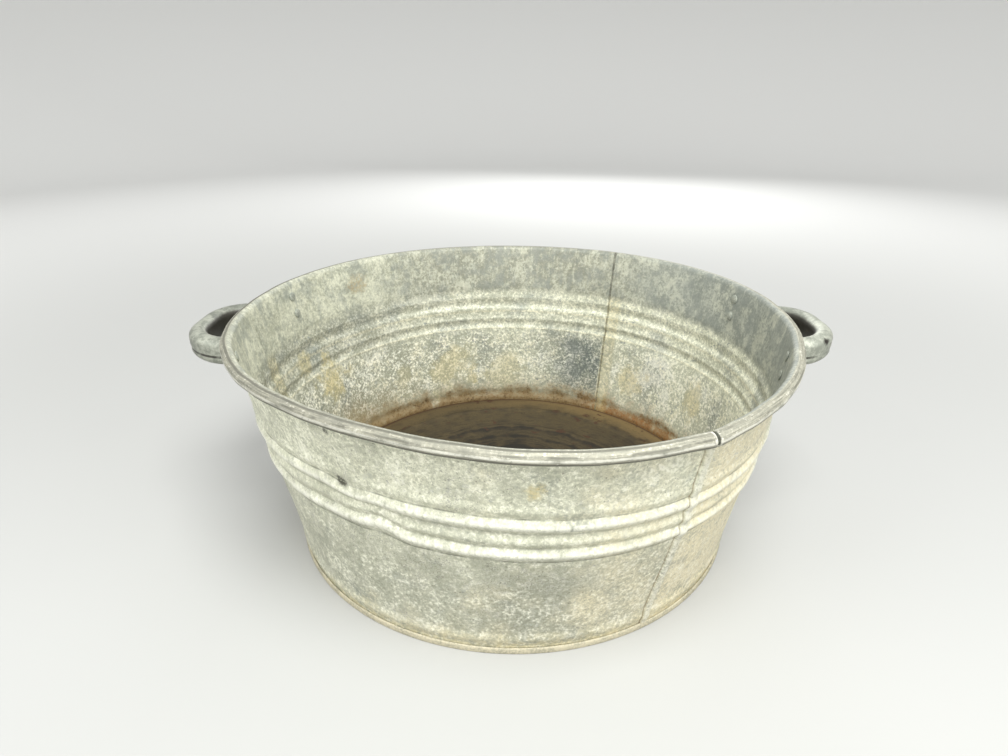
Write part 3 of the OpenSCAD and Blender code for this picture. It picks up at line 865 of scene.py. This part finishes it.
def buildLock(atTurn):
    # spun with one degree for each column of the plan, then laid out as the plan says
    heights = [seams["lowEnd"]] + wallHeights + [underRoll - seams["topGap"]]
    profile = [(wallRadius(max(z, tub["kneeHeight"])), z) for z in heights]
    lock = spinChain(profile, 0, len(lockPlan) - 1, len(lockPlan) - 1)
    chain = np.array(profile)
    beadOut = chain[:, 0] - [plainRadius(max(z, tub["kneeHeight"])) for z in heights]
    radius, turn, z = toRound(getPoints(lock))
    column = np.abs(np.rint(np.degrees(turn))).astype(int)
    row = nearestRow(radius, z, chain)
    planTurn, planOut = np.array(lockPlan).T
    flatter = seams["flatterBeads"] * planOut[column] / planOut.max()
    radius = chain[row, 0] - beadOut[row] * flatter + planOut[column] * mm
    putPoints(lock, fromRound(radius, np.radians(planTurn[column] + atTurn), chain[row, 1]))
    layOutSheet(lock, sheetChain[onWall], sheetLengths[onWall])
    return lock


def buildPanel(name, fromTurn, toTurn, jointGap):
    startTurn = fromTurn + buttTurn + gapTurn
    panel = spinChain(hem + wall + roll, startTurn, toTurn + buttTurn, seams["steps"])
    layOutSheet(panel, sheetChain, sheetLengths)
    # the roll stops short of its neighbour at the joint
    radius, turn, z = toRound(getPoints(panel))
    atStart = (np.degrees(turn) - startTurn + 180) % 360 - 180 < 1e-3
    onRoll = (z > underRoll - 1 * mm) & (radius > plainRadius(z.max()) - 3 * mm)
    shift = np.where(atStart & onRoll, jointGap / tub["rollCentre"][0], 0)
    putPoints(panel, fromRound(radius, turn + shift, z))
    parts = [panel, buildLock(toTurn)]
    for part in parts:
        putPoints(part, warpPoints(getPoints(part)))
        thicken(part, tub["sheet"])
    panel = joinPieces(parts, name)
    finishPiece(panel, wallZinc, 50)
    return panel


wallZinc = wallMaterial("weatheredZincWall")
panels = (
    ("wallRight", "wall_panel_right", -60, 60, seams["openGap"]),
    ("wallBack", "wall_panel_back", 60, 180, seams["tightGap"]),
    ("wallFront", "wall_panel_front", 180, 300, seams["tightGap"]),
)
for name, node, fromTurn, toTurn, jointGap in panels:
    panel = buildPanel(name, fromTurn, toTurn, jointGap)
    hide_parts(node)
    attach(panel, "root")
print("wall panels built")


# Zinc on the rivets, the burrs and the wire

rivetColours = {"zinc": (142, 146, 135), "pale": (170, 173, 159), "dark": (74, 76, 68)}
burrColours = {"zinc": (140, 146, 136), "pale": (170, 175, 160), "dark": (74, 76, 68)}


def rivetMaterial(name, colours, metallic):
    f = Finish(name, colours)
    small = f.cloud(260, 4, 0.65, seed=41)
    fine = f.cloud(1400, 3, 0.7, seed=42)
    colour = f.coat(f.look["zinc"], "pale", f.step(small, 0.4, 0.6))
    colour = f.coat(colour, "dark", f.step(fine, 0.55, 0.66) * 0.7)
    relief = f.bump(small * 0.6 + fine * 0.4, 0.3, 0.3 * mm)
    return f.close(colour, 0.62 + (small - 0.5) * 0.2, metallic + (fine - 0.5) * 0.2, relief)


rivetZinc = rivetMaterial("dullRivetZinc", rivetColours, 0.15)
burrZinc = rivetMaterial("paleBurrZinc", burrColours, 0.1)


# Rim wire inside the roll, with its butt gap at the open joint

wireRing = {"joint": -60, "gap": 2.5 * mm, "sides": 20, "steps": 300}


def buildWire():
    section = arcPoints(tub["rollCentre"], tub["wireRadius"], 0, 360, wireRing["sides"])
    gap = math.degrees(wireRing["gap"] / tub["rollCentre"][0])
    start, end = wireRing["joint"] + gap, wireRing["joint"] + 360 - gap
    wire = spinChain(section, start, end, wireRing["steps"], closed=True)
    closeEnds(wire)
    putPoints(wire, warpPoints(getPoints(wire)))
    nameIt(wire, "rimWire")
    finishPiece(wire, rivetZinc)
    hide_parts("rim_wire")
    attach(wire, "root")


buildWire()
print("rim wire built")


# Floor: one sheet, down inside the wall, under the hem and up outside as the foot band

floorSheet = {
    "colours": {
        "edge": (115, 97, 62), "tan": (80, 69, 45), "brown": (49, 41, 28),
        "dark": (20, 17, 12), "rustSpot": (66, 42, 26), "band": (202, 195, 168),
        "bandDark": (156, 153, 132),
    },
    "spots": ((-0.037, 0.240, 0.007), (0.066, 0.206, 0.007), (0.111, 0.194, 0.007)),
    "height": 7 * mm,
    "bend": 2.5 * mm,
    "fold": 0.7 * mm,
    # pressed rings: how far in from the edge, half width and height
    "rings": ((32 * mm, 8 * mm, 1.2 * mm), (88 * mm, 8 * mm, 1.2 * mm)),
    # the foot band's upper end, bent in a little: how far in, and height
    "bandTop": ((0, 3 * mm), (0, 5.2 * mm), (0.25 * mm, 6.0 * mm), (0.9 * mm, 6.7 * mm)),
    "rows": 110,
    "steps": 240,
    "sway": 1.2 * mm,
    "swayNoise": (9, 3.3),
    "swayFade": 60 * mm,
}


def floorMaterial(name):
    f = Finish(name, floorSheet["colours"])
    radius = f.vector("LENGTH", f.vector("MULTIPLY", f.place, (1, 1, 0)), output="Value")
    big = f.cloud(7, 4, 0.6, seed=21)
    middle = f.cloud(48, 5, 0.65, seed=22)
    fine = f.cloud(420, 4, 0.7, seed=23)
    rings = f.node("ShaderNodeTexNoise", {"noise_dimensions": "1D"},
                   {"W": radius + big * 0.05, "Scale": 46, "Detail": 5, "Roughness": 0.7})
    arcs = rings * 0.4 + middle * 0.35 + big * 0.25
    colour = f.coat(f.look["brown"], "tan", f.step(arcs, 0.40, 0.60))
    nearWall = f.step(radius + (middle - 0.5) * 0.05, 205 * mm, 240 * mm)
    rightSide = f.step(f.part(f.place, 0) + (big - 0.5) * 0.2, -60 * mm, 120 * mm, 0.3, 0.9)
    colour = f.coat(colour, "edge", nearWall * rightSide)
    centre = f.fade(radius + (big - 0.5) * 0.18, 130 * mm, 222 * mm)
    colour = f.coat(colour, "dark", centre * f.step(arcs, 0.58, 0.42) * 0.9)
    streaks = f.step(rings * 0.5 + fine * 0.25 + middle * 0.25, 0.52, 0.60)
    colour = f.coat(colour, "dark", streaks * 0.6)
    colour = f.coat(colour, "rustSpot", f.step(f.cloud(60, 5, 0.6, seed=24), 0.61, 0.66) * 0.9)
    for place in floorSheet["spots"]:
        colour = f.coat(colour, "rustSpot", f.spot(place, 8 * mm) * f.step(fine, 0.4, 0.5))
    colour = f.coat(colour, "dark", f.step(fine, 0.58, 0.7) * 0.35)
    crease = f.band(radius, 244.5 * mm, 246 * mm, 1.5 * mm)
    colour = f.coat(colour, "rustSpot", crease * 0.8)
    onBand = f.step(radius, tub["wallFoot"] + 0.2 * mm, tub["wallFoot"] + 1.2 * mm)
    band = f.coat(f.look["bandDark"], "band", f.step(middle * 0.4 + fine * 0.6, 0.36, 0.58))
    relief = f.bump(fine * 0.5 + middle * 0.5, 0.4, 0.6 * mm)
    return f.close(f.mix(onBand, colour, band), 0.7 + (middle - 0.5) * 0.2, 0.15 + middle * 0.1, relief)


def buildFloor():
    sheet, bend, fold = tub["sheet"], floorSheet["bend"], floorSheet["fold"]
    top = floorSheet["height"] - sheet / 2
    legRadius = tub["wallFoot"] - sheet - seams["foldGap"]
    bandRadius = tub["footRadius"] - sheet / 2
    foldHeight = sheet / 2 + fold
    edge = legRadius - bend
    profile = []
    for radius in spread(0, edge, floorSheet["rows"]):
        pressed = [ridge(radius, edge - inwards, *shape) for inwards, *shape in floorSheet["rings"]]
        profile.append((radius, top + sum(pressed)))
    profile += arcPoints((edge, top - bend), bend, 90, 0, 6)[1:]
    profile += arcPoints((legRadius + fold, foldHeight), fold, 180, 270, 4)
    profile += arcPoints((bandRadius - fold, foldHeight), fold, 270, 360, 4)
    profile += [(bandRadius - inwards, height) for inwards, height in floorSheet["bandTop"]]
    floor = spinChain(profile, 0, 360, floorSheet["steps"], closed=True)
    points = getPoints(floor)
    scale, heightInNoise = floorSheet["swayNoise"]
    sway = noiseAt(np.column_stack([points[:, :2] * scale, np.full(len(points), heightInNoise)]))
    radius = toRound(points)[0]
    points[:, 2] += sway * floorSheet["sway"] * smooth(radius, edge, edge - floorSheet["swayFade"])
    putPoints(floor, points)
    thicken(floor, sheet)
    nameIt(floor, "tubFloor")
    finishPiece(floor, floorMaterial("stainedFloorZinc"))
    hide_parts("bottom_plate")
    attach(floor, "root")


buildFloor()
print("floor built")


# Grips: a ring drawn out from lug to lug along the bow

grip = {
    "colours": {
        "zinc": (138, 142, 130), "pale": (184, 187, 172), "worn": (112, 115, 106),
        "grimeAndShade": (44, 40, 34), "rust": (60, 46, 34),
    },
    "knock": ((0.3255, -0.0495, 0.2297), 0.005),
    "height": 30 * mm,
    "width": 20 * mm,
    "bend": 39 * mm,
    "halfSpan": 51 * mm,
    "reach": {"right": 46 * mm, "left": 48.5 * mm},
    "clear": 1 * mm,
    "bowLift": 1.5 * mm,
    "liftFrom": 300 * mm,
    "liftWhole": 340 * mm,
    "lugHeight": 34 * mm,
    "lugThick": 2 * mm,
    "lugGap": 0.15 * mm,
    "rootTurn": 14,
    # rings of the lug, from its rounded end inwards: azimuth in degrees, and share of its height
    "lugRings": ((20.4, 0.35), (20.25, 0.55), (19.9, 0.78), (19.4, 0.93), (18.7, 1.0), (18, 1.0), (16, 1.0)),
    "pull": 30 * mm,
    "ringPoints": 60,
    "slitTurn": -6,
    "slitDeep": 0.6 * mm,
}
gripHeight = underRoll - grip["clear"] - grip["height"] / 2


def gripMaterial(name):
    f = Finish(name, grip["colours"])
    x, y = f.part(f.place, 0), f.part(f.place, 1)
    ring = f.part(f.sheetPlace(), 0)
    big = f.cloud(24, 5, 0.6, seed=31)
    small = f.cloud(170, 5, 0.7, seed=32)
    fine = f.cloud(800, 3, 0.7, seed=33)
    colour = f.coat(f.look["zinc"], "pale", f.step(big * 0.4 + small * 0.6, 0.40, 0.60))
    colour = f.coat(colour, "worn", f.step(f.cloud(60, 5, 0.65, seed=34), 0.52, 0.66) * 0.6)
    colour = f.coat(colour, "worn", f.step(fine * 0.5 + small * 0.5, 0.56, 0.66) * 0.6)
    # painted light and shade: the left grip darker, and each grip darker towards the back
    colour = f.shade(colour, f.step(x, -300 * mm, 300 * mm, 0.80, 1.0)
                     * f.step(y, -20 * mm, 50 * mm, 1.04, 0.82))
    # painted shade on the side towards the tub, and dirt along the lap seam
    colour = f.coat(colour, "grimeAndShade", f.band(ring, 0.42, 0.66, 0.07) * 0.9)
    seam = f.band(ring, 0.980, 0.987, 0.005)
    colour = f.coat(colour, "grimeAndShade", seam * f.step(f.cloud(40, 4, 0.6, seed=35), 0.38, 0.56) * 0.9)
    under = f.band(ring, 0.72, 0.86, 0.05) * f.step(small, 0.4, 0.6)
    colour = f.coat(colour, "worn", under * 0.5)
    rustSpots = f.step(f.cloud(80, 4, 0.6, seed=36), 0.68, 0.72)
    colour = f.coat(colour, "rust", rustSpots * 0.9)
    knock = f.spot(*grip["knock"], (small - 0.5) * 3.0)
    colour = f.coat(colour, "grimeAndShade", knock)
    relief = f.bump(small * 0.5 + fine * 0.5 - knock, 0.3, 0.4 * mm)
    return f.close(colour, 0.46 + (small - 0.5) * 0.3, 0.4 - rustSpots * 0.3, relief)


def gripStations(reach):
    # place and outward direction in plan, width, height and lean of each ring, from the lug's end to the bow
    stations = []
    base = plainRadius(gripHeight) + tub["sheet"] / 2 + grip["lugGap"] + grip["lugThick"] / 2
    for degrees, tall in grip["lugRings"]:
        a = math.radians(degrees)
        place = (base * math.cos(a), base * math.sin(a))
        stations.append((place, a, grip["lugThick"], grip["lugHeight"] * tall, 1.0))
    # a curve from the root of the lug to the straight arm, which starts and ends along them
    a = math.radians(grip["rootTurn"])
    start, startWay = Vector((base * math.cos(a), base * math.sin(a))), Vector((math.sin(a), -math.cos(a)))
    bowX = tub["rimRadius"] + reach - grip["width"] / 2
    end, endWay = Vector((bowX - grip["bend"], grip["halfSpan"])), Vector((1, 0))
    pull = grip["pull"]
    for t in spread(0, 1, 10):
        swell = t * t * (3 - 2 * t)
        place = ((1 - swell) * start + (t ** 3 - 2 * t ** 2 + t) * pull * startWay
                 + swell * end + (t ** 3 - t ** 2) * pull * endWay)
        way = (6 * (t - t ** 2) * (end - start) + (3 * t ** 2 - 4 * t + 1) * pull * startWay
               + (3 * t ** 2 - 2 * t) * pull * endWay)
        swell = swell ** 1.2
        stations.append(((place.x, place.y), math.atan2(way.x, -way.y),
                         grip["lugThick"] + (grip["width"] - grip["lugThick"]) * swell,
                         grip["lugHeight"] + (grip["height"] - grip["lugHeight"]) * swell, 1 - swell))
    corner = (bowX - grip["bend"], grip["halfSpan"] - grip["bend"])
    for x, y in arcPoints(corner, grip["bend"], 90, 0, 12)[1:]:
        facing = math.atan2(y - corner[1], x - corner[0])
        stations.append(((x, y), facing, grip["width"], grip["height"], 0.0))
    stations.append(((bowX, 0.0), 0.0, grip["width"], grip["height"], 0.0))
    mirrored = [((x, -y), -facing, *rest) for (x, y), facing, *rest in reversed(stations[:-1])]
    return stations + mirrored


def gripRing(station):
    (x, y), facing, width, height, lean = station
    straight = (height - width) / 2
    leaning = math.tan(slope) * lean
    lift = grip["bowLift"] * (1 - lean) * smooth(math.hypot(x, y), grip["liftFrom"], grip["liftWhole"])
    ring = []
    for i in range(grip["ringPoints"]):
        t = 2 * math.pi * i / grip["ringPoints"]
        side = width / 2 * math.cos(t)
        up = width / 2 * math.sin(t) + math.copysign(straight, math.sin(t)) * min(1, abs(math.sin(t)) * 6)
        if abs(math.degrees(t) - 360 - grip["slitTurn"]) < 3:
            side -= grip["slitDeep"] * (1 - lean)
        side += up * leaning
        ring.append((x + side * math.cos(facing), y + side * math.sin(facing), gripHeight + up + lift))
    return ring


def layOutGrip(obj, rings):
    # UV: share of the way round each ring, and along the grip
    count = grip["ringPoints"]
    layer = obj.data.uv_layers.new(name="Sheet")
    for face in obj.data.polygons:
        corners = [(obj.data.loops[loop].vertex_index, loop) for loop in face.loop_indices]
        wraps = {0, count - 1} <= {index % count for index, loop in corners}
        for index, loop in corners:
            place = index % count or (count if wraps else 0)
            layer.data[loop].uv = (place / count, index // count / rings)


def buildGrip(name, node, atTurn, reach):
    rings = [gripRing(station) for station in gripStations(reach)]
    clearSelection()
    bpy.ops.mesh.primitive_circle_add(vertices=grip["ringPoints"], radius=10 * mm, fill_type="NOTHING")
    obj = bpy.context.object
    putPoints(obj, np.array(rings[0]))
    bpy.ops.object.mode_set(mode="EDIT")
    for ring in rings[1:]:
        bpy.ops.mesh.extrude_region_move(TRANSFORM_OT_translate={"value": (0, 0, mm)})
    bpy.ops.object.mode_set(mode="OBJECT")
    putPoints(obj, np.concatenate(rings))
    closeEnds(obj)
    layOutGrip(obj, len(rings))
    obj.rotation_euler = (0, 0, math.radians(atTurn))
    settle(obj)
    putPoints(obj, warpPoints(getPoints(obj)))
    nameIt(obj, name)
    finishPiece(obj, gripZinc, 45)
    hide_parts(node)
    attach(obj, "root")


gripZinc = gripMaterial("handWornZinc")
buildGrip("gripRight", "handle_right", 0, grip["reach"]["right"])
buildGrip("gripLeft", "handle_left", 180, grip["reach"]["left"])
print("grips built")


# Rivets and burrs: one of each, spun from its outline and copied to its places

rivet = {
    "turn": 18,
    "pitch": 21 * mm,
    "shank": 2.5 * mm,
    "headRadius": 5 * mm,
    "headHeight": 3 * mm,
    "peenRadius": 3.75 * mm,
    "peenHeight": 0.45 * mm,
    "burrRadius": 5.25 * mm,
    "burrThick": 1.2 * mm,
    "burrTopEdge": 0.3 * mm,
    "burrLowEdge": (0.5 * mm, 0.4 * mm),  # inwards and up
    "burrPlay": 0.1 * mm,
    "seat": 0.1 * mm,
    "steps": 28,
}


def domeOutline(radius, height, base, way):
    ball = (height ** 2 + radius ** 2) / (2 * height)
    turns = spread(0, math.asin(radius / ball), 7)
    return [(ball * math.sin(a), base + way * (ball * math.cos(a) - ball + height)) for a in turns]


def spinClosed(outline, name):
    obj = spinChain(outline, 0, 360, rivet["steps"], closed=True)
    faceOutwards(obj)
    return nameIt(obj, name)


def drawRivet():
    headBase = grip["lugGap"] + grip["lugThick"] + rivet["seat"]
    burrTop = -tub["sheet"] - rivet["seat"]
    burrLow = burrTop - rivet["burrThick"]
    peenBase = burrLow - rivet["seat"]
    head = domeOutline(rivet["headRadius"], rivet["headHeight"], headBase, 1)
    peen = domeOutline(rivet["peenRadius"], rivet["peenHeight"], peenBase, -1)
    shank = [(rivet["shank"], peenBase), (rivet["shank"], headBase)]
    hole, rim, corner = rivet["shank"] + rivet["burrPlay"], rivet["burrRadius"], rivet["burrTopEdge"]
    edgeIn, edgeUp = rivet["burrLowEdge"]
    burr = [(hole, burrTop), (rim - corner, burrTop), (rim, burrTop - corner),
            (rim, burrLow + edgeUp), (rim - edgeIn, burrLow), (hole, burrLow), (hole, burrTop)]
    return spinClosed(peen + shank + head[::-1], "rivetPattern"), spinClosed(burr, "burrPattern")


def setIn(pattern, turn, z):
    # a copy of the pattern, square to the wall at one hole
    copy = pattern.copy()
    copy.data = pattern.data.copy()
    bpy.context.collection.objects.link(copy)
    radius = plainRadius(z) + tub["sheet"] / 2 / math.cos(slope)
    hole = np.array([[radius * math.cos(turn), radius * math.sin(turn), z]])
    copy.location = warpPoints(hole)[0]
    copy.rotation_euler = (0, math.pi / 2 + slope, turn)
    return settle(copy)


def buildRivets():
    rivetPattern, burrPattern = drawRivet()
    kinds = ((rivetPattern, "rivets", rivetZinc, "rivet_zinc"), (burrPattern, "burrs", burrZinc, "burr_zinc"))
    for side, atTurn in (("right", 0), ("left", 180)):
        places = [(math.radians(atTurn + way * rivet["turn"]), gripHeight + level * rivet["pitch"] / 2)
                  for way in (-1, 1) for level in (-1, 1)]
        for pattern, kind, material, slot in kinds:
            piece = joinPieces([setIn(pattern, turn, z) for turn, z in places], kind + side.title())
            finishPiece(piece, material)
            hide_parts("handle_%s_%s" % (side, kind))
            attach(piece, "root")
    for pattern in (rivetPattern, burrPattern):
        bpy.data.objects.remove(pattern)


buildRivets()
print("rivets and burrs built")
